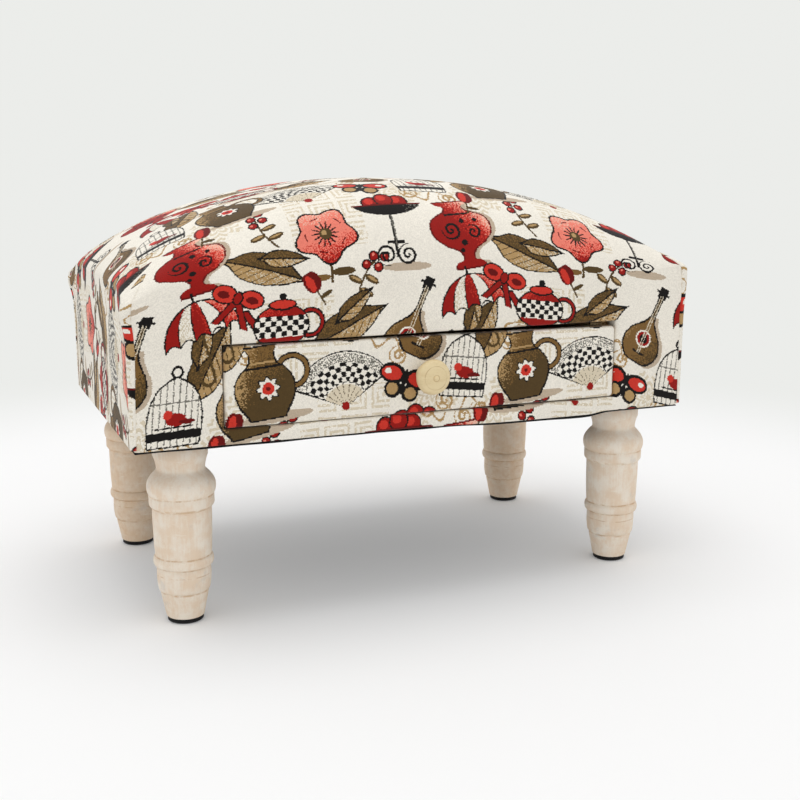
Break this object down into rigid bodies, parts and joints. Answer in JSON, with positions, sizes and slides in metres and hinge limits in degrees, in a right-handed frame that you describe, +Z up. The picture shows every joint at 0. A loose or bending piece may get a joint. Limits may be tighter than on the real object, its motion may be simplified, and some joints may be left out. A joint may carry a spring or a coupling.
{
  "type": "upholstered footstool with drawer",
  "caption": "Small box footstool with a domed padded seat in patterned cloth, a cloth-fronted drawer with a turned knob, and short turned limed wooden legs.",
  "frame": {"origin": "on the floor, at the middle of the stool's footprint as seen from above, knob included", "axes": "+X along the long side towards the right as seen from the front, +Y from the drawer front to the back, +Z up"},
  "size_m": [0.4, 0.2564, 0.2846],
  "materials": {
    "carcass_board": "matte",
    "runner_wood": "satin",
    "foam": "matte",
    "tapestry": "matte",
    "lining": "matte",
    "limed_wood": "matte",
    "glide_plastic": "satin",
    "zinc_steel": "satin",
    "drawer_wood": "matte",
    "front_board": "matte",
    "knob_wood": "satin"
  },
  "bodies": {
    "stand": {"back_panel": "carcass_board", "base_board": "carcass_board", "base_lining": "lining", "bay_side_left": "carcass_board", "bay_side_right": "carcass_board", "drawer_kicker_left": "runner_wood", "drawer_kicker_right": "runner_wood", "drawer_runner_left": "runner_wood", "drawer_runner_right": "runner_wood", "end_panel_left": "carcass_board", "end_panel_right": "carcass_board", "front_rail": "carcass_board", "front_stile_left": "carcass_board", "front_stile_right": "carcass_board", "glide_back_left": "glide_plastic", "glide_back_right": "glide_plastic", "glide_front_left": "glide_plastic", "glide_front_right": "glide_plastic", "leg_back_left": "limed_wood", "leg_back_right": "limed_wood", "leg_bolt_back_left": "zinc_steel", "leg_bolt_back_right": "zinc_steel", "leg_bolt_front_left": "zinc_steel", "leg_bolt_front_right": "zinc_steel", "leg_front_left": "limed_wood", "leg_front_right": "limed_wood", "leg_nut_back_left": "zinc_steel", "leg_nut_back_right": "zinc_steel", "leg_nut_front_left": "zinc_steel", "leg_nut_front_right": "zinc_steel", "seat_cover": "tapestry", "seat_deck": "carcass_board", "seat_foam": "foam", "stop_batten": "carcass_board"},
    "drawer": {"drawer_front_board": "front_board", "drawer_front_cloth": "tapestry", "drawer_box_front": "drawer_wood", "drawer_side_left": "drawer_wood", "drawer_side_right": "drawer_wood", "drawer_back": "drawer_wood", "drawer_bottom": "drawer_wood", "drawer_knob": "knob_wood", "knob_screw": "zinc_steel"}
  },
  "joints": [
    {"name": "drawer_slide", "type": "slide", "parent": "stand", "child": "drawer", "axis": [0, -1, 0], "range_m": [0, 0.139]}
  ]
}
